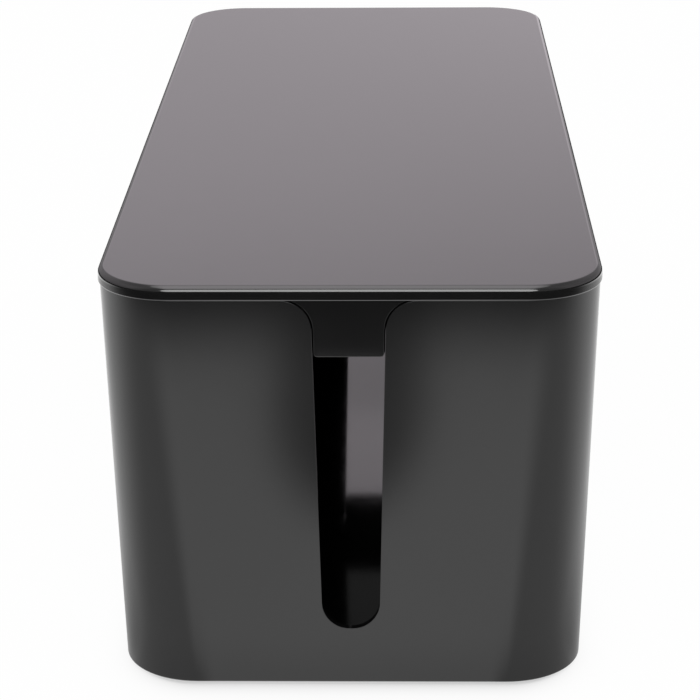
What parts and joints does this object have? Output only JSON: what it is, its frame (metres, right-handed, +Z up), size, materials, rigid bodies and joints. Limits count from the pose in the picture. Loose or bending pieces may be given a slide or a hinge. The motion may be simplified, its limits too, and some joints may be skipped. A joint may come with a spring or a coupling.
{
  "type": "cable management box",
  "caption": "Long lidded box that hides a power strip and its cords, with a tall cable slot in each end and a lift-off lid whose tongues close the slots' mouths.",
  "frame": {"origin": "on the ground under the middle of the box, in the plane of the four rubber feet", "axes": "+Z up, +Y along the box's length, +X across it; the end nearest the camera in the picture is at -Y"},
  "size_m": [0.157, 0.407, 0.1365],
  "materials": {
    "tub_plastic": "black, fine satin texture outside, smooth inside",
    "lid_plastic": "black, fine satin texture outside, smooth underneath",
    "foot_rubber": "matte dark rubber"
  },
  "bodies": {
    "tub_body": {"tub": "tub_plastic", "rubber_foot_front_left": "foot_rubber", "rubber_foot_front_right": "foot_rubber", "rubber_foot_rear_left": "foot_rubber", "rubber_foot_rear_right": "foot_rubber"},
    "lid_body": {"lid": "lid_plastic"}
  },
  "joints": [
    {"name": "lid_lift", "type": "slide", "parent": "tub_body", "child": "lid_body", "axis": [0, 0, 1], "range_m": [0, 0.06]}
  ]
}
